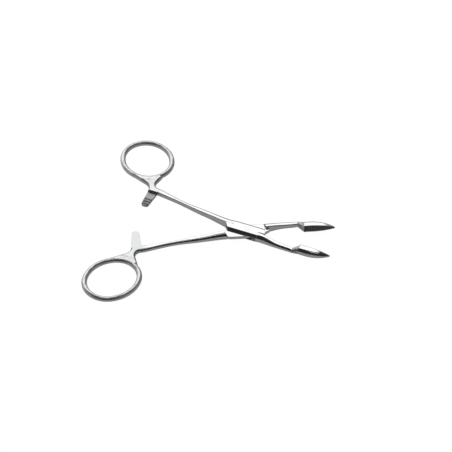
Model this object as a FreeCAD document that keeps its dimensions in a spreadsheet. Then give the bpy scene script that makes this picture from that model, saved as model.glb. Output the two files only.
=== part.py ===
"""Box-lock haemostatic forceps, 140 mm closed, drawn lying flat and fully open.

Each arm is drawn in its own frame as if the jaws were shut: the lock pin stands on the
origin, the jaw runs to +X and the serrated face lies on Y = 0. The slotted arm has its
finger ring on +Y, the tongued arm is its mirror image, and both are then turned apart
about the pin. Z = 0 is the table under the lock.
"""
import FreeCAD, Part
import Sketcher
import math
import os

from FreeCAD import Placement, Rotation, Vector

SIZES = [
    # lock
    ("lock_thickness", 5.2), ("lock_half_width", 4.5), ("lock_round", 2.3),
    ("box_handle_end", 13.4), ("box_handle_corner", 10.3), ("box_end_sweep", 9.0),
    ("box_jaw_end", 10.7), ("box_jaw_corner", 8.9),
    ("slot_height", 2.1), ("slot_wall_reach", 12.6), ("slot_wall_corner", 6.4),
    ("slot_play", 0.05), ("wall_play", 0.25), ("shoulder_play", 0.4), ("blend_step", 0.1),
    ("cut_margin", 1.0),
    ("pin_diameter", 2.4), ("pin_seat_play", 0.01), ("pin_run_play", 0.05),
    ("opening_each", 12.84),
    # finger ring
    ("ring_back", 75.3), ("ring_side", 31.9), ("ring_tilt", 35.8),
    ("ring_long", 15.43), ("ring_short", 13.73), ("ring_end_share", 0.94), ("ring_wire", 3.05),
    # fork where shank, ring and ratchet bar meet
    ("fork_thickness", 2.9), ("fork_round", 1.25), ("fork_lap", 0.6),
    ("crotch_front", 59.5), ("crotch_back", 62.35), ("crotch_end", 16.3), ("crotch_radius", 3.56),
    ("cheek_ahead", 14.1), ("cheek_inside", 10.2),
    ("web_radius", 5.1), ("web_start", 8.75), ("web_reach", 3.5), ("web_rise", 4.85),
    ("web_behind", 1.7), ("web_inside", 15.3),
    # ratchet
    ("ratchet_back", 64.5), ("ratchet_width", 4.7), ("ratchet_reach", 2.3),
    ("ratchet_corner", 1.4), ("ratchet_flare", 0.9), ("ratchet_taper", 0.5), ("ratchet_root", 1.5),
    ("ratchet_gap", 0.2), ("tooth_pitch", 2.0), ("tooth_depth", 0.45), ("tooth_count", 3),
    # jaw teeth
    ("groove_pitch", 1.1), ("groove_depth", 0.5), ("groove_mouth", 0.03), ("groove_count", 15),
    ("groove_start", 32.4),
    # general rounding of the forging
    ("shank_inner_round", 0.55), ("face_edge_round", 0.12), ("outer_round_share", 0.46),
]

# Stations along an arm: distance from the pin, inner side, outer side, thickness.
SHANK_STATIONS = [
    ("fork", -59.0, 8.7, 12.3, 2.85),
    ("wrist", -54.0, 7.9, 11.2, 2.8),
    ("slim", -46.0, 6.6, 9.1, 2.7),
    ("middle", -29.5, 3.4, 6.5, 3.3),
    ("swell", -20.0, 1.8, 5.2, 4.05),
    ("boxback", -13.8, 0.6, 4.4, 4.9),
    ("root", -8.0, 0.6, 4.45, 5.1),
]
SHAFT_STATIONS = [
    ("jawroot", 6.5, 0.4, 4.45, 5.1),
    ("boxfront", 11.0, 0.8, 4.5, 4.9),
    ("shaft", 15.5, 1.6, 4.95, 3.8),
    ("taper", 22.0, 2.35, 5.35, 2.95),
    ("neck", 28.3, 2.95, 5.6, 2.6),
]
TIP_STATIONS = [
    ("heel", 31.8, 0.06, 4.65, 4.6),
    ("belly", 37.0, 0.06, 4.7, 4.7),
    ("fore", 42.5, 0.06, 3.8, 3.8),
    ("nose", 46.5, 0.06, 2.2, 2.2),
    ("tip", 48.9, 0.06, 0.8, 0.8),
]
BOX_STATIONS = ("boxback", "root", "jawroot", "boxfront")
LOCK_STATIONS = ("root", "jawroot")
STATION_PARTS = ("at", "inner", "outer", "thick")


class Size:
    """A number together with the formula that ties it to the table of sizes."""

    def __init__(self, number, formula=None):
        self.number = float(number)
        self.formula = formula or f"{float(number):.9g}"

    def combine(self, sign, other, turned=False):
        other = other if isinstance(other, Size) else Size(other)
        first, second = (other, self) if turned else (self, other)
        number = {
            "+": lambda a, b: a + b,
            "-": lambda a, b: a - b,
            "*": lambda a, b: a * b,
            "/": lambda a, b: a / b,
        }[sign](first.number, second.number)
        return Size(number, f"({first.formula} {sign} {second.formula})")

    def __add__(self, other):
        return self.combine("+", other)

    def __radd__(self, other):
        return self.combine("+", other, True)

    def __sub__(self, other):
        return self.combine("-", other)

    def __rsub__(self, other):
        return self.combine("-", other, True)

    def __mul__(self, other):
        return self.combine("*", other)

    def __rmul__(self, other):
        return self.combine("*", other, True)

    def __truediv__(self, other):
        return self.combine("/", other)

    def __neg__(self):
        return self.combine("*", -1)


class Table:
    """The spreadsheet of sizes, read back as attributes."""

    def __init__(self, document):
        self.sheet = document.addObject("Spreadsheet::Sheet", "Sizes")
        self.row = 0

    def add(self, name, number):
        self.row += 1
        self.sheet.set(f"A{self.row}", name)
        self.sheet.set(f"B{self.row}", f"{number:g}")
        self.sheet.setAlias(f"B{self.row}", name)
        setattr(self, name, Size(number, f"Sizes.{name}"))

    def add_stations(self, rows, parts):
        for name, *numbers in rows:
            for part, number in zip(parts, numbers):
                self.add(f"{name}_{part}", number)

    def station(self, name, parts=STATION_PARTS):
        return [getattr(self, f"{name}_{part}") for part in parts]


document = FreeCAD.newDocument("Haemostat")
table = Table(document)
for size_name, size_number in SIZES:
    table.add(size_name, size_number)
table.add_stations(SHANK_STATIONS + SHAFT_STATIONS + TIP_STATIONS, STATION_PARTS)
document.recompute()

middle_height = table.lock_thickness / 2


def bind(thing, path, size):
    thing.setExpression(path, size.formula)


def origin_plane(body, role):
    return next(plane for plane in body.Origin.OriginFeatures if plane.Role == role)


def new_sketch(body, name, role, away, turn=None, spin=None, along=None, up=None):
    """Sketch on an origin plane of its own body, moved by `away` along the plane's normal.

    It is moved by `along` and `up` within the plane, then turned about its own upright axis
    or spun about its normal.
    """
    sketch = body.newObject("Sketcher::SketchObject", name)
    sketch.AttachmentSupport = [(origin_plane(body, role), "")]
    sketch.MapMode = "FlatFace"
    bind(sketch, "AttachmentOffset.Base.z", away)
    if along is not None:
        bind(sketch, "AttachmentOffset.Base.x", along)
    if up is not None:
        bind(sketch, "AttachmentOffset.Base.y", up)
    for angle, axis in ((turn, Vector(0, 1, 0)), (spin, Vector(0, 0, 1))):
        if angle is not None:
            sketch.AttachmentOffset = Placement(Vector(), Rotation(axis, angle.number))
            bind(sketch, "AttachmentOffset.Rotation.Angle", angle)
    return sketch


def pin_point(sketch, edge, end, x, y):
    """Holds one end of an edge at (x, y) from the sketch's origin."""
    for kind, size in (("DistanceX", x), ("DistanceY", y)):
        index = sketch.addConstraint(Sketcher.Constraint(kind, -1, 1, edge, end, size.number))
        bind(sketch, f"Constraints[{index}]", size)


def arc_between(start, finish, radius):
    """Arc that bulges to the right of start-finish if radius is positive, else to the left."""
    chord = finish - start
    half = chord.Length / 2
    rise = math.sqrt(max(radius * radius - half * half, 0.0))
    side = Vector(chord.y, -chord.x, 0).normalize() * (1 if radius > 0 else -1)
    centre = (start + finish) * 0.5 - side * rise
    top = centre + side * abs(radius)
    return Part.Arc(start, top, finish)


def outline(sketch, corners):
    """Closed outline. A corner is (x, y) or (x, y, radius of the arc that leaves it)."""
    spots = [Vector(corner[0].number, corner[1].number, 0) for corner in corners]
    for index, corner in enumerate(corners):
        start, finish = spots[index], spots[(index + 1) % len(spots)]
        if len(corner) == 3:
            sketch.addGeometry(arc_between(start, finish, corner[2].number), False)
        else:
            sketch.addGeometry(Part.LineSegment(start, finish), False)
    first_ends = []
    for index in range(len(corners)):
        forward = (sketch.getPoint(index, 1) - spots[index]).Length < 1e-6
        first_ends.append(1 if forward else 2)
    for index, corner in enumerate(corners):
        following = (index + 1) % len(corners)
        sketch.addConstraint(Sketcher.Constraint(
            "Coincident", index, 3 - first_ends[index], following, first_ends[following]))
        pin_point(sketch, index, first_ends[index], corner[0], corner[1])
        if len(corner) == 3:
            radius = corner[2] if corner[2].number > 0 else -corner[2]
            number = sketch.addConstraint(Sketcher.Constraint("Radius", index, radius.number))
            bind(sketch, f"Constraints[{number}]", radius)


def circle(sketch, x, radius):
    centre = Vector(x.number, 0, 0)
    sketch.addGeometry(Part.Circle(centre, Vector(0, 0, 1), radius.number), False)
    pin_point(sketch, 0, 3, x, Size(0))
    number = sketch.addConstraint(Sketcher.Constraint("Radius", 0, radius.number))
    bind(sketch, f"Constraints[{number}]", radius)


def rounded_corners(inner, outer, thick, inner_round, outer_round):
    """Outline of a forged section: width along the sketch, thickness up about mid-height."""
    low = middle_height - thick / 2
    high = middle_height + thick / 2
    hand = 1 if outer.number > inner.number else -1
    inner_turn = inner_round * hand
    outer_turn = outer_round * hand
    return [
        (inner, high - inner_round),
        (inner, low + inner_round, inner_turn),
        (inner + inner_turn, low),
        (outer - outer_turn, low, outer_turn),
        (outer, low + outer_round),
        (outer, high - outer_round, outer_turn),
        (outer - outer_turn, high),
        (inner + inner_turn, high, inner_turn),
    ]


def rounded_section(body, name, away, inner, outer, thick, inner_round, outer_round):
    """Cross-section of the forging at X = away: flat towards the jaw line, round outside."""
    sketch = new_sketch(body, name, "YZ_Plane", away)
    outline(sketch, rounded_corners(inner, outer, thick, inner_round, outer_round))
    return sketch


def station_section(body, side, name, inner_round):
    """Section at a named station; beside the box its outer corners are the box's own."""
    t = table
    away, inner, outer, thick = t.station(name)
    if name in LOCK_STATIONS:
        outer = t.lock_half_width - t.blend_step
        thick = t.lock_thickness - t.blend_step * 2
    outer_round = t.lock_round if name in BOX_STATIONS else thick * t.outer_round_share
    return rounded_section(
        body, f"{name}_section", away, inner * side, outer * side, thick, inner_round, outer_round)


def loft(body, name, sections, ruled=False):
    feature = body.newObject("PartDesign::AdditiveLoft", name)
    feature.Profile = sections[0]
    feature.Sections = sections[1:]
    feature.Ruled = ruled
    return feature


def pad(body, name, sketch, length, symmetric=True, reverse=False):
    feature = body.newObject("PartDesign::Pad", name)
    feature.Profile = sketch
    feature.SideType = "Symmetric" if symmetric else "One side"
    feature.Reversed = reverse
    bind(feature, "Length", length)
    return feature


def pocket(body, name, sketch, length=None, reverse=False):
    """Cut from the sketch: symmetric with a length, otherwise right through one way."""
    feature = body.newObject("PartDesign::Pocket", name)
    feature.Profile = sketch
    if length is None:
        feature.Type = "ThroughAll"
        feature.SideType = "One side"
        feature.Reversed = reverse
    else:
        feature.SideType = "Symmetric"
        bind(feature, "Length", length)
    return feature


def edges_along(shape, corners, heights):
    """Names of the level edges that join neighbouring corners (x, y) at one of the heights."""
    names = []
    for number, edge in enumerate(shape.Edges, 1):
        first, last = edge.Vertexes[0].Point, edge.Vertexes[-1].Point
        for height in heights:
            for start, finish in zip(corners, corners[1:]):
                start, finish = Vector(*start, height), Vector(*finish, height)
                gap = min(
                    max((first - start).Length, (last - finish).Length),
                    max((first - finish).Length, (last - start).Length))
                if gap < 1e-5:
                    names.append(f"Edge{number}")
    return names


def add_fork(body, side):
    """Plate that carries the shank and the ratchet bar into the ring, with two hollow sides."""
    t = table
    front = t.fork_at + t.fork_lap
    cheek_at, cheek_side = t.cheek_ahead - t.ring_back, t.ring_side - t.cheek_inside
    web_at, web_side = -t.ring_back - t.web_behind, t.ring_side - t.web_inside
    crotch = [
        (-t.crotch_front, (t.fork_outer - t.blend_step) * side, t.crotch_radius * -side),
        (-t.crotch_back, t.crotch_end * side),
        (cheek_at, cheek_side * side),
    ]
    web = [
        (web_at, web_side * side),
        (-t.ratchet_back - t.web_reach, (t.web_start + t.web_rise) * side, t.web_radius * -side),
        (-t.ratchet_back, t.web_start * side),
    ]
    inside_wire = [
        (cheek_at - t.ring_wire * 0.8, cheek_side * side),
        (web_at + t.ring_wire * 2.7, (web_side + t.ring_wire * 0.6) * side),
        (web_at + t.ring_wire * 0.15, (web_side + t.ring_wire * 0.3) * side),
    ]
    sketch = new_sketch(body, "fork_outline", "XY_Plane", middle_height)
    outline(sketch, [
        (front, t.fork_inner * side),
        (front, (t.fork_outer - t.blend_step * 2.5) * side),
    ] + crotch + inside_wire + web)
    plate = pad(body, "fork_plate", sketch, t.fork_thickness)
    document.recompute()
    levels = [middle_height.number + t.fork_thickness.number / 2 * sign for sign in (1, -1)]
    hollows = []
    for line in (crotch, web):
        corners = [(corner[0].number, corner[1].number) for corner in line]
        hollows += edges_along(plate.Shape, corners, levels)
    rounding = body.newObject("PartDesign::Fillet", "fork")
    rounding.Base = (plate, hollows)
    bind(rounding, "Radius", t.fork_round)


def add_ring(body, side):
    """Round wire bent to an oval of four arcs, its long axis tilted towards the shank."""
    t = table
    half_long, half_short = t.ring_long, t.ring_short
    end = half_short * t.ring_end_share
    flat = (half_long * half_long - half_long * end * 2 + half_short * half_short) / (
        (half_short - end) * 2)
    joint_long = (half_long - end) * flat / (flat - end)
    joint_short = end * (flat - half_short) / (flat - end)
    tilt = t.ring_tilt * -side
    path = new_sketch(
        body, "ring_path", "XY_Plane", middle_height,
        spin=tilt, along=-t.ring_back, up=t.ring_side * side)
    outline(path, [
        (-half_long, Size(0), end),
        (-joint_long, -joint_short, flat),
        (joint_long, -joint_short, end),
        (joint_long, joint_short, flat),
        (-joint_long, joint_short, end),
    ])
    wire = new_sketch(
        body, "ring_wire_section", "XZ_Plane", t.ring_side * -side,
        turn=tilt, along=-t.ring_back, up=middle_height)
    circle(wire, -half_long, t.ring_wire / 2)
    ring = body.newObject("PartDesign::AdditivePipe", "finger_ring")
    ring.Profile = wire
    ring.Spine = (path, [f"Edge{number}" for number in range(1, 6)])
    ring.Mode = "Frenet"


def add_shank(body, side):
    names = [row[0] for row in SHANK_STATIONS]
    sections = [station_section(body, side, name, table.shank_inner_round) for name in names]
    loft(body, "shank", sections)


def add_jaw(body, side):
    """The jaw's slender shaft and its leaf-shaped tip; the jaw lies across from the ring."""
    names = [row[0] for row in SHAFT_STATIONS]
    sections = [station_section(body, -side, name, table.shank_inner_round) for name in names]
    loft(body, "jaw_shaft", sections)
    heel = station_section(body, -side, "heel", table.face_edge_round)
    loft(body, "heel_ramp", [sections[-1], heel], ruled=True)
    names = [row[0] for row in TIP_STATIONS[1:]]
    tips = [station_section(body, -side, name, table.face_edge_round) for name in names]
    loft(body, "jaw_tip", [heel] + tips)


def add_box(body, side):
    """Box of the slotted arm: a rounded block whose ends are cut to clear the other arm."""
    t = table
    section = rounded_section(
        body, "box_section", -t.box_handle_end, -t.lock_half_width * side,
        t.lock_half_width * side, t.lock_thickness, t.lock_round, t.lock_round)
    pad(body, "box", section, t.box_handle_end + t.box_jaw_end, symmetric=False)
    clear = t.lock_half_width + t.cut_margin
    handle_cut = new_sketch(body, "box_handle_cut", "XY_Plane", middle_height)
    outline(handle_cut, [
        (-t.box_handle_end, t.root_inner * side, -t.box_end_sweep * side),
        (-t.box_handle_corner, -t.lock_half_width * side),
        (-t.box_handle_corner, -clear * side),
        (-t.box_handle_end - t.cut_margin, -clear * side),
        (-t.box_handle_end - t.cut_margin, clear * side),
        (t.root_at - t.cut_margin / 2, clear * side),
        (t.root_at - t.cut_margin / 2, t.root_inner * side),
    ])
    pocket(body, "box_handle_end", handle_cut, t.lock_thickness + t.cut_margin)
    jaw_cut = new_sketch(body, "box_jaw_cut", "XY_Plane", middle_height)
    outline(jaw_cut, [
        (t.box_jaw_end, -t.jawroot_inner * side),
        (t.jawroot_at + t.cut_margin / 2, -t.jawroot_inner * side),
        (t.jawroot_at + t.cut_margin / 2, -clear * side),
        (t.box_jaw_end + t.cut_margin, -clear * side),
        (t.box_jaw_end + t.cut_margin, clear * side),
        (t.box_jaw_corner, clear * side),
        (t.box_jaw_corner, t.lock_half_width * side),
    ])
    pocket(body, "box_jaw_end", jaw_cut, t.lock_thickness + t.cut_margin)


def cut_slot(body, side):
    """Slot through the box, open on both sides; its end walls lean with the two solid roots."""
    t = table
    far = t.lock_half_width + t.cut_margin * 3
    past = t.cut_margin * 4
    sketch = new_sketch(body, "slot_outline", "XY_Plane", middle_height)
    outline(sketch, [
        (-t.slot_wall_reach, t.root_inner * side),
        (-t.slot_wall_corner, t.lock_half_width * side),
        (-t.slot_wall_corner, far * side),
        (t.box_jaw_end + past, far * side),
        (t.box_jaw_end + past, -t.root_inner * side),
        (t.slot_wall_reach, -t.root_inner * side),
        (t.slot_wall_corner, -t.lock_half_width * side),
        (t.slot_wall_corner, -far * side),
        (-t.box_handle_end - past, -far * side),
        (-t.box_handle_end - past, t.root_inner * side),
    ])
    pocket(body, "slot", sketch, t.slot_height)


def add_tongue(body, side):
    """Thin tongue of the other arm, with the outline that fills the slot when shut."""
    t = table
    edge = t.lock_half_width - t.slot_play
    sketch = new_sketch(body, "tongue_outline", "XY_Plane", middle_height)
    outline(sketch, [
        (-t.slot_wall_reach, (t.root_inner - t.wall_play - t.wall_play) * side),
        (-t.box_handle_corner, edge * side),
        (t.slot_wall_corner - t.wall_play, edge * side),
        (t.slot_wall_reach - t.wall_play, (t.root_inner - t.wall_play) * side),
        (t.slot_wall_reach - t.wall_play, -(t.jawroot_inner + t.cut_margin) * side),
        (t.box_jaw_corner + t.shoulder_play, -edge * side),
        (-t.slot_wall_corner + t.wall_play, -edge * side),
        (-t.slot_wall_reach + t.wall_play, -(t.root_inner - t.wall_play) * side),
    ])
    pad(body, "tongue", sketch, t.slot_height - t.slot_play * 2)


def relieve_tongue(body, side):
    """Takes the full thickness down to the tongue between the two leaning shoulders."""
    t = table
    wide = t.lock_half_width + t.cut_margin * 2
    handle_inner = t.box_handle_end + t.shoulder_play * 2
    handle_outer = t.box_handle_corner + t.shoulder_play
    jaw_inner = t.box_jaw_end + t.shoulder_play
    jaw_outer = t.box_jaw_corner + t.shoulder_play * 0.75
    lean_handle = handle_inner - handle_outer
    lean_jaw = jaw_inner - jaw_outer
    corners = [
        (-handle_inner - lean_handle, -t.lock_half_width * side),
        (-handle_inner, Size(0)),
        (-handle_outer, t.lock_half_width * side),
        (-handle_outer + t.cut_margin, wide * side),
        (jaw_inner + lean_jaw, wide * side),
        (jaw_inner, Size(0)),
        (jaw_outer, -t.lock_half_width * side),
        (jaw_outer, -wide * side),
        (-handle_inner - lean_handle, -wide * side),
    ]
    half_tongue = t.slot_height / 2 - t.slot_play
    over = new_sketch(body, "relief_over", "XY_Plane", middle_height + half_tongue)
    outline(over, corners)
    pocket(body, "relief_top", over, reverse=True)
    under = new_sketch(body, "relief_under", "XY_Plane", middle_height - half_tongue)
    outline(under, corners)
    pocket(body, "relief_bottom", under)


def bore(body, name, play):
    t = table
    sketch = new_sketch(body, f"{name}_circle", "XY_Plane", middle_height)
    circle(sketch, Size(0), t.pin_diameter / 2 + play)
    pocket(body, name, sketch, t.lock_thickness + t.cut_margin)


def add_ratchet(body, side, level):
    """Locking bar: `level` +1 is the upper bar with teeth below, -1 the lower, teeth above."""
    t = table
    base = middle_height + t.ratchet_gap / 2 * level
    height = t.fork_thickness / 2 - t.ratchet_gap / 2
    back = -t.ratchet_back
    front = t.ratchet_width - t.ratchet_back
    end = -t.ratchet_reach
    sketch = new_sketch(body, "ratchet_outline", "XY_Plane", base)
    outline(sketch, [
        (back, (t.fork_inner + t.ratchet_root) * side),
        (back + t.ratchet_taper, (end + t.ratchet_corner) * side, t.ratchet_corner * side),
        (back + t.ratchet_taper + t.ratchet_corner, end * side),
        (front - t.ratchet_corner, end * side, t.ratchet_corner * side),
        (front, (end + t.ratchet_corner) * side),
        (front + t.ratchet_flare, t.fork_inner * side),
        (front, (t.fork_inner + t.ratchet_root) * side),
    ])
    pad(body, "ratchet_bar", sketch, height, symmetric=False, reverse=level < 0)
    tooth = new_sketch(body, "ratchet_tooth", "YZ_Plane", back - t.cut_margin)
    first = end + t.ratchet_corner * 0.4
    outline(tooth, [
        (first * side, base),
        (first * side, base + t.tooth_depth * level),
        ((first + t.tooth_pitch * 0.85) * side, base),
    ])
    cut = body.newObject("PartDesign::Pocket", "ratchet_tooth_cut")
    cut.Profile = tooth
    cut.Type = "Length"
    cut.SideType = "One side"
    cut.Reversed = True
    bind(cut, "Length", t.ratchet_width + t.cut_margin * 2)
    row = body.newObject("PartDesign::LinearPattern", "ratchet_teeth")
    row.Originals = [cut]
    row.Direction = (origin_plane(body, "Y_Axis"), [""])
    row.Reversed = side < 0
    row.Mode = "Spacing"
    bind(row, "Offset", t.tooth_pitch)
    bind(row, "Occurrences", t.tooth_count)
    body.Tip = row


def cut_serrations(body, side, shift):
    """Cross grooves of the jaw face; the two jaws are half a pitch apart, so they mesh."""
    t = table
    start = t.groove_start + t.groove_pitch * shift
    sketch = new_sketch(body, "groove_section", "XY_Plane", middle_height)
    outline(sketch, [
        (start, t.groove_mouth * side),
        (start + t.groove_pitch * 0.48, -t.groove_depth * side),
        (start + t.groove_pitch * 0.96, t.groove_mouth * side),
    ])
    cut = pocket(body, "groove", sketch, t.lock_thickness + t.cut_margin)
    row = body.newObject("PartDesign::LinearPattern", "serrations")
    row.Originals = [cut]
    row.Direction = (origin_plane(body, "X_Axis"), [""])
    row.Mode = "Spacing"
    bind(row, "Offset", t.groove_pitch)
    bind(row, "Occurrences", t.groove_count)
    body.Tip = row


def turn_open(body, side):
    body.Placement = Placement(Vector(), Rotation(Vector(0, 0, 1), -side * table.opening_each.number))
    body.setExpression("Placement.Rotation.Angle", f"{(table.opening_each * -side).formula} * 1deg")


def slotted_arm():
    body = document.addObject("PartDesign::Body", "SlottedArm")
    body.Label = "female_arm"
    side = 1
    add_box(body, side)
    add_shank(body, side)
    add_fork(body, side)
    add_ring(body, side)
    add_jaw(body, side)
    cut_slot(body, side)
    bore(body, "pin_seat", table.pin_seat_play)
    add_ratchet(body, side, -1)
    cut_serrations(body, side, 0)
    turn_open(body, side)
    return body


def tongued_arm():
    body = document.addObject("PartDesign::Body", "TonguedArm")
    body.Label = "male_arm"
    side = -1
    add_shank(body, side)
    add_fork(body, side)
    add_ring(body, side)
    add_tongue(body, side)
    add_jaw(body, side)
    relieve_tongue(body, side)
    bore(body, "pin_bore", table.pin_run_play)
    add_ratchet(body, side, 1)
    cut_serrations(body, side, 0.5)
    turn_open(body, side)
    return body


def lock_pin():
    pin = document.addObject("Part::Cylinder", "LockPin")
    pin.Label = "lock_pin"
    bind(pin, "Radius", table.pin_diameter / 2)
    bind(pin, "Height", table.lock_thickness)
    return pin


pieces = [slotted_arm(), tongued_arm(), lock_pin()]
document.recompute()

for thing in document.Objects:
    if "Invalid" in thing.State or "Error" in thing.State:
        raise RuntimeError(f"{thing.Name} failed: {thing.State}")
os.makedirs("parts", exist_ok=True)
for piece in pieces:
    shape = piece.Shape
    if shape.isNull() or not shape.isValid() or len(shape.Solids) != 1:
        raise RuntimeError(f"{piece.Label} is not one valid solid")
for piece in pieces:
    piece.Shape.exportStep(f"parts/{piece.Label}.step")
    print(piece.Label, round(piece.Shape.Volume, 1), piece.Shape.BoundBox)
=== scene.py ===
"""Box-lock haemostat lying open on a pale table: polished steel, satin at the worked places."""
import math

import bmesh
import bpy
from mathutils import Matrix, Vector


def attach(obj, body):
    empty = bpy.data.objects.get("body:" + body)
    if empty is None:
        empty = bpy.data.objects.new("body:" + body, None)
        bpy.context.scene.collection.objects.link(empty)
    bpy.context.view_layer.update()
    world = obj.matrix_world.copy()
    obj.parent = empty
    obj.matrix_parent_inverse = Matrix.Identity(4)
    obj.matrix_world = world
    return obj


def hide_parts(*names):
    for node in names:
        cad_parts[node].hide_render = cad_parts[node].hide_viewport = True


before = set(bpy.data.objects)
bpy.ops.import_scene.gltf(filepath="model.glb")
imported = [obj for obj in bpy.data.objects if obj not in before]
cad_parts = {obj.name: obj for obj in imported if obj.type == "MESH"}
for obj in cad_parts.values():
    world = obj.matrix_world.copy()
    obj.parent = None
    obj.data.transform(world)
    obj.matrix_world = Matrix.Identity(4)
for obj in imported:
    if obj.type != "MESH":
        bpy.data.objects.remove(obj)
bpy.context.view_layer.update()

MM = 0.001
MM_IN_METRE = 1000

# The two forgings: the piece that is shown, its body, and the side its finger ring is on.
ARMS = {
    "female_arm": {"piece": "slotted_arm_steel", "body": "slotted_arm", "side": 1},
    "male_arm": {"piece": "tongued_arm_steel", "body": "tongued_arm", "side": -1},
}

# Sizes of an arm in mm and degrees, measured from the pin as if the jaws were shut.
OPENING = 12.84
MIDDLE_HEIGHT = 2.6
RING_CENTRE = (75.3, 31.9)
RING_TILT = 35.8
RING_LONG = 15.43
RING_SHORT = 13.73

# Where a finish starts and where it is full, in mm; the jaw face's bounds also hold its painted
# shade.
JAW_FACE_ALONG = (31.6, 31.9)
JAW_FACE_ACROSS = (0.62, 0.2)
BAR_FRONT = (-58.0, -58.6)
BAR_BACK = (-65.4, -65.0)
BAR_ROOT = (8.9, 8.5)
TOOTH_DEPTH = (0.66, 0.58)
SATIN_ALONG = (-53.0, -60.0)
RING_EDGE = (1.22, 1.12)  # times the ring's half width

# Where a finish, or the painted shade in the gaps between teeth, starts and ends, and how softly,
# in mm.
NECK_ALONG = (28.2, 31.9, 0.25)
TOOTH_GAP_DEPTH = (0.24, 0.62, 0.06)

# How steel reflects; the serrated jaw face and the gaps between the bar's teeth carry painted
# shade.
POLISHED = (0.655, 0.66, 0.665, 1)
POLISHED_PALE = (0.71, 0.71, 0.71, 1)
SATIN_GREY = (0.50, 0.505, 0.51, 1)
TOOTH_GREY = (0.5, 0.5, 0.505, 1)
# Painted shade: the dark of the gaps between the bar's teeth is put into their colour.
TOOTH_GAP_PAINTED_SHADE = (0.14, 0.14, 0.142, 1)
BLASTED_PIT = (0.15, 0.15, 0.154, 1)
BRUSHED_PALE = (0.76, 0.76, 0.765, 1)
# Painted shade: the serrated jaw face's darkness is put into its colour.
JAW_FACE_PAINTED_SHADE = (0.085, 0.085, 0.088, 1)
PIN_GREY = (0.64, 0.645, 0.65, 1)
PIN_PALE = (0.70, 0.70, 0.70, 1)

# Depth of the surface's marks in mm.
POLISH_WAVE = 0.0015
POLISH_GRIT = 0.0004
RING_SCORE = 0.3
WORKED_GRIT = 0.03
NECK_GRIT = 0.05
PIN_TURNING = 0.0003
PIN_WAVE = 0.002
EDGE_ROUND = 0.3

# Making the shown copy from the solid's triangles.
SHARP_TURN = 26  # degrees between faces that stay a crease
WELD_REACH = 0.0008 * MM
SPECK_LENGTH = 0.0004 * MM

# The view of the photograph: frame and focal length in pixels, places in mm.
PHOTO_SIDE = 452
FOCAL_LENGTH = 1739.55
FILM_WIDTH = 36
EYE = (108.445, -672.091, 687.882)
AHEAD = (-0.124645, 0.696034, -0.707107)
ABOVE = (-0.115891, 0.697574, 0.707079)


class Value:
    """A number that varies over a surface; arithmetic on it adds the Math nodes."""

    def __init__(self, finish, socket):
        self.finish = finish
        self.socket = socket

    def math(self, operation, *others):
        return self.finish.add("ShaderNodeMath", {"operation": operation}, {
            index: term for index, term in enumerate((self,) + others)})

    def __add__(self, other):
        return self.math("ADD", other)

    __radd__ = __add__

    def __sub__(self, other):
        return self.math("SUBTRACT", other)

    def __rsub__(self, other):
        return (self * -1) + other

    def __mul__(self, other):
        return self.math("MULTIPLY", other)

    __rmul__ = __mul__

    def __truediv__(self, other):
        return self.math("DIVIDE", other)

    def above(self, low, high):
        """0 below `low`, 1 above `high`, smooth between; the other way round if low > high."""
        if low > high:
            return 1 - self.above(high, low)
        settings = {"interpolation_type": "SMOOTHSTEP", "clamp": True}
        return self.finish.add("ShaderNodeMapRange", settings, {
            "Value": self, "From Min": low, "From Max": high}, "Result")

    def between(self, low, high, soft):
        """1 from `low` to `high`, and 0 outside, each change `soft` to either side."""
        return self.above(low - soft, low + soft) * self.above(high + soft, high - soft)


class Finish:
    """One node tree, of a material or of the world."""

    def __init__(self, owner):
        owner.use_nodes = True
        self.tree = owner.node_tree
        self.tree.nodes.clear()

    def add(self, kind, settings=None, inputs=None, output=0):
        """A node with its settings, then the values or links of its sockets."""
        node = self.tree.nodes.new(kind)
        for name, setting in (settings or {}).items():
            setattr(node, name, setting)
        for key, source in (inputs or {}).items():
            socket = node.inputs[key]
            if isinstance(source, Value):
                self.tree.links.new(source.socket, socket)
            else:
                socket.default_value = source
        return Value(self, node.outputs[output])

    def result(self, kind, shader):
        output = self.tree.nodes.new(kind)
        self.tree.links.new(shader.socket, output.inputs["Surface"])


def axes_of(finish, vector):
    """The three coordinates of a vector as Values."""
    first = finish.add("ShaderNodeSeparateXYZ", {}, {0: vector})
    return [Value(finish, socket) for socket in first.socket.node.outputs]


def noise(finish, vector, scale, detail=2.0, roughness=0.5, layer=None):
    settings = {"noise_dimensions": "3D" if layer is None else "4D"}
    inputs = {"Vector": vector, "Scale": scale, "Detail": detail, "Roughness": roughness}
    if layer is not None:
        inputs["W"] = layer
    return finish.add("ShaderNodeTexNoise", settings, inputs, "Fac")


def streaks(finish, vector, per_mm, **look):
    """Noise drawn out by its own number of marks per mm along each axis."""
    drawn = finish.add("ShaderNodeMapping", {"vector_type": "POINT"}, {
        "Vector": vector, "Scale": per_mm})
    return noise(finish, drawn, scale=1.0, **look)


def mixed(finish, factor, first, second):
    return finish.add("ShaderNodeMix", {"data_type": "RGBA"}, {
        "Factor": factor, "A": first, "B": second}, 2)


def in_mm(finish, turn=0.0):
    """Object coordinates in mm, turned about the pin."""
    place = finish.add("ShaderNodeTexCoord", {}, {}, "Object")
    return finish.add("ShaderNodeMapping", {"vector_type": "POINT"}, {
        "Vector": place,
        "Rotation": (0, 0, math.radians(turn)),
        "Scale": (MM_IN_METRE, MM_IN_METRE, MM_IN_METRE),
    })


def steel(finish, shade, dull, height, **bump_inputs):
    """Bare metal of a varying shade and roughness, with marks `height` mm deep."""
    bump = finish.add("ShaderNodeBump", {}, {
        "Height": height, "Distance": MM, "Strength": 1.0, **bump_inputs})
    shader = finish.add("ShaderNodeBsdfPrincipled", {}, {
        "Base Color": shade, "Metallic": 1.0, "Roughness": dull, "Normal": bump})
    finish.result("ShaderNodeOutputMaterial", shader)


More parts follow.
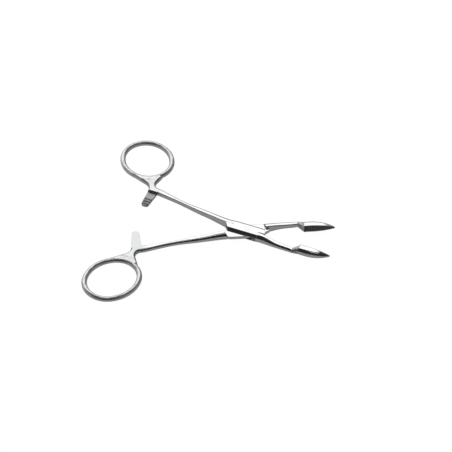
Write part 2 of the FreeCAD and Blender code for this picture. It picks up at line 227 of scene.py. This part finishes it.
def ring_marks(finish, arm, side, up):
    """Polishing marks that run along the ring's wire, and a mask that is 1 on the wire."""
    centred = finish.add("ShaderNodeMapping", {"vector_type": "TEXTURE"}, {
        "Vector": arm,
        "Location": (-RING_CENTRE[0], RING_CENTRE[1] * side, 0),
        "Rotation": (0, 0, math.radians(RING_TILT * -side)),
        "Scale": (RING_LONG, RING_SHORT, 1),
    })
    long, short, _ = axes_of(finish, centred)
    reach = (long * long + short * short).math("SQRT")
    marks_round, marks_outwards, marks_up = 3.2, 13, 0.9
    along_wire = finish.add("ShaderNodeCombineXYZ", {}, {
        0: long / reach * marks_round,
        1: short / reach * marks_round,
        2: reach * marks_outwards,
    })
    marks = noise(finish, along_wire, scale=1.0, detail=3.0, roughness=0.55, layer=up * marks_up)
    return marks, reach.above(*RING_EDGE)


def steel_arm(name, side):
    """Polished stainless steel, satin at fork and ring, blasted neck, painted shade on the
    serrated jaw face and in the gaps between the bar's teeth.
    """
    material = bpy.data.materials.new(name)
    finish = Finish(material)
    arm = in_mm(finish, OPENING * side)
    along, across, up = axes_of(finish, arm)

    neck = along.between(*NECK_ALONG)
    jaw_face = along.above(*JAW_FACE_ALONG) * (across * -side).above(*JAW_FACE_ACROSS)
    bar = along.above(*BAR_FRONT) * along.above(*BAR_BACK) * (across * side).above(*BAR_ROOT)
    from_middle = (up - MIDDLE_HEIGHT) * -side
    tooth_side = bar * from_middle.above(*TOOTH_DEPTH)
    # Painted shade in the gaps between the bar's teeth.
    tooth_gap_shade_mask = bar * from_middle.between(*TOOTH_GAP_DEPTH)
    satin = along.above(*SATIN_ALONG)
    marks, ring = ring_marks(finish, arm, side, up)
    brushed = ring * satin
    plate = satin * (1 - ring)
    worked = neck.math("MAXIMUM", jaw_face).math("MAXIMUM", tooth_side)

    cloud = noise(finish, arm, scale=0.16, detail=3.0)
    smear = streaks(finish, arm, (0.12, 1.6, 1.6), detail=3.0)
    swirl = streaks(finish, arm, (0.5, 7.0, 7.0), detail=4.0, roughness=0.6)
    grit = noise(finish, arm, scale=5.5, detail=2.0, roughness=0.7)
    pits = noise(finish, arm, scale=1.4, detail=3.0, roughness=0.65)
    streak = ring * marks + (1 - ring) * swirl

    shade = mixed(finish, cloud.above(0.3, 0.7), POLISHED, POLISHED_PALE)
    for mask, steel_shade in (
        (plate * (0.5 + cloud.above(0.35, 0.65) * 0.4), SATIN_GREY),
        (tooth_side * 0.9, TOOTH_GREY),
        # Painted shade darkens the gaps between the bar's teeth.
        (tooth_gap_shade_mask * 0.9, TOOTH_GAP_PAINTED_SHADE),
        (neck * pits.above(0.5, 0.62), BLASTED_PIT),
        (brushed, BRUSHED_PALE),
        # Painted shade darkens the serrated jaw face's colour.
        (jaw_face, JAW_FACE_PAINTED_SHADE),
    ):
        shade = mixed(finish, mask, shade, steel_shade)

    dull = 0.06
    for mask, rise in (
        (smear.above(0.45, 0.8), 0.05),
        (streak.above(0.45, 0.75), 0.05),
        (worked, 0.28),
        (neck, 0.1),
        (satin, 0.12),
        (brushed, 0.16),
    ):
        dull = dull + mask * rise

    grit_depth = worked * WORKED_GRIT + neck * NECK_GRIT + POLISH_GRIT
    height = streak * POLISH_WAVE + brushed * marks * RING_SCORE + grit * grit_depth
    edge = finish.add("ShaderNodeBevel", {"samples": 8}, {"Radius": EDGE_ROUND * MM})
    steel(finish, shade, dull, height, Normal=edge)
    return material


def steel_pin(name):
    """The pin's ground ends: fine circular marks round the middle."""
    material = bpy.data.materials.new(name)
    finish = Finish(material)
    spot = in_mm(finish)
    along, across, _ = axes_of(finish, spot)
    reach = (along * along + across * across).math("SQRT")
    turns_in_mm = 60
    rings = (reach * turns_in_mm).math("SINE")
    cloud = noise(finish, spot, scale=1.2, detail=3.0)
    shade = mixed(finish, cloud, PIN_GREY, PIN_PALE)
    dull = 0.07 + cloud * 0.06 + rings * 0.01
    steel(finish, shade, dull, rings * PIN_TURNING + cloud * PIN_WAVE)
    return material


def even_normals(mesh, limit):
    """Corner normals by area over the faces round a corner that turn less than `limit`."""
    least = math.cos(math.radians(limit))
    faces_round = [[] for _ in mesh.vertices]
    for face in mesh.polygons:
        for vertex in face.vertices:
            faces_round[vertex].append(face.index)
    facing = [face.normal.copy() for face in mesh.polygons]
    weight = [face.normal * face.area for face in mesh.polygons]
    normals = []
    for face in mesh.polygons:
        own = facing[face.index]
        for vertex in face.vertices:
            total = Vector()
            for other in faces_round[vertex]:
                if facing[other].dot(own) > least:
                    total += weight[other]
            normals.append(total.normalized() if total.length > 0 else own)
    mesh.normals_split_custom_set(normals)


def polished_copy(node_name, piece_name):
    """A merged, smooth-shaded copy of a forging, creased where its surfaces meet at an angle."""
    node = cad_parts[node_name]
    mesh = node.data.copy()
    mesh.name = piece_name
    mesh.transform(node.matrix_world)
    shape = bmesh.new()
    shape.from_mesh(mesh)
    bmesh.ops.remove_doubles(shape, verts=shape.verts, dist=WELD_REACH)
    bmesh.ops.dissolve_degenerate(shape, edges=shape.edges, dist=SPECK_LENGTH)
    shape.to_mesh(mesh)
    shape.free()
    mesh.shade_smooth()
    even_normals(mesh, SHARP_TURN)
    mesh.materials.clear()
    piece = bpy.data.objects.new(piece_name, mesh)
    bpy.context.scene.collection.objects.link(piece)
    return piece


def table():
    """The pale table: it takes the shadow, and is white to the eye."""
    reach = 3.0
    tone, seen_light, mirrored_light = 0.3, 0.96, 0.28
    mesh = bpy.data.meshes.new("table_top")
    corners = [(-reach, -reach, 0), (reach, -reach, 0), (reach, reach, 0), (-reach, reach, 0)]
    mesh.from_pydata(corners, [], [(0, 1, 2, 3)])
    floor = bpy.data.objects.new("table_top", mesh)
    bpy.context.scene.collection.objects.link(floor)
    material = bpy.data.materials.new("pale_table")
    finish = Finish(material)
    paths = finish.add("ShaderNodeLightPath").socket.node.outputs
    seen = Value(finish, paths["Is Camera Ray"])
    mirrored = Value(finish, paths["Is Glossy Ray"])
    matt = finish.add("ShaderNodeBsdfDiffuse", {}, {"Color": (tone, tone, tone, 1)})
    glow = finish.add("ShaderNodeEmission", {}, {
        "Color": (1, 1, 1, 1), "Strength": seen * seen_light + mirrored * mirrored_light})
    both = finish.add("ShaderNodeAddShader", {}, {0: matt, 1: glow})
    finish.result("ShaderNodeOutputMaterial", both)
    mesh.materials.append(material)


def towards(axes, aim, edge, core):
    """1 within `core` degrees of the direction `aim`, 0 beyond `edge` degrees."""
    aim = Vector(aim).normalized()
    near = axes[0] * aim.x + axes[1] * aim.y + axes[2] * aim.z
    return near.above(math.cos(math.radians(edge)), math.cos(math.radians(core)))


def studio():
    """Lamp and pale wall behind, a small light overhead, soft sides and a dark front."""
    world = bpy.data.worlds.new("studio")
    bpy.context.scene.world = world
    finish = Finish(world)
    paths = finish.add("ShaderNodeLightPath").socket.node.outputs
    seen = Value(finish, paths["Is Camera Ray"])
    direction = finish.add("ShaderNodeTexCoord", {}, {}, "Generated")
    axes = axes_of(finish, direction)
    east, north, up = axes

    lamp = towards(axes, (-0.25, 0.72, 0.65), 27, 20) * up.above(0.45, 0.56)
    wall = north.above(0.1, 0.45) * east.above(0.6, 0.25) * up.above(0.8, 0.6)
    wall_light = 0.36 + east.above(-0.25, -0.5) * 0.42
    left = (east * -1).above(0.5, 0.8) * up.above(0.75, 0.5) * north.above(0.35, 0.1)
    right = east.above(0.4, 0.7) * up.above(0.9, 0.7)
    overhead = towards(axes, (0.03, 0.0, 1.0), 12, 7)

    room_light, right_light, left_light, overhead_light, lamp_light = 0.03, 0.13, 0.32, 0.85, 1.55
    light = room_light + right * right_light + left * left_light + wall * wall_light
    light = light + overhead * overhead_light
    light = light * (1 - lamp) + lamp * lamp_light
    light = light * (1 - seen) + seen
    glow = finish.add("ShaderNodeBackground", {}, {"Color": (1, 1, 1, 1), "Strength": light})
    finish.result("ShaderNodeOutputWorld", glow)


def camera():
    """The photograph's view, from the right and 45 degrees above the table."""
    lens = bpy.data.cameras.new("view")
    lens.sensor_width = FILM_WIDTH
    lens.lens = FOCAL_LENGTH / PHOTO_SIDE * FILM_WIDTH
    lens.clip_start = 0.01
    lens.clip_end = 20
    eye = bpy.data.objects.new("view", lens)
    bpy.context.scene.collection.objects.link(eye)
    ahead = Vector(AHEAD).normalized()
    right = ahead.cross(Vector(ABOVE)).normalized()
    above = right.cross(ahead)
    turn = Matrix((right, above, -ahead)).transposed().to_4x4()
    eye.matrix_world = Matrix.Translation(Vector(EYE) * MM) @ turn
    bpy.context.scene.camera = eye


for node_name, arm in ARMS.items():
    piece = polished_copy(node_name, arm["piece"])
    piece.data.materials.append(steel_arm(arm["piece"] + "_finish", arm["side"]))
    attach(piece, arm["body"])
    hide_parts(node_name)

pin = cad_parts["lock_pin"]
pin_finish = steel_pin("pin_finish")
for place in pin.material_slots:
    place.material = pin_finish

table()
studio()
camera()
bpy.context.scene.view_settings.view_transform = "Standard"
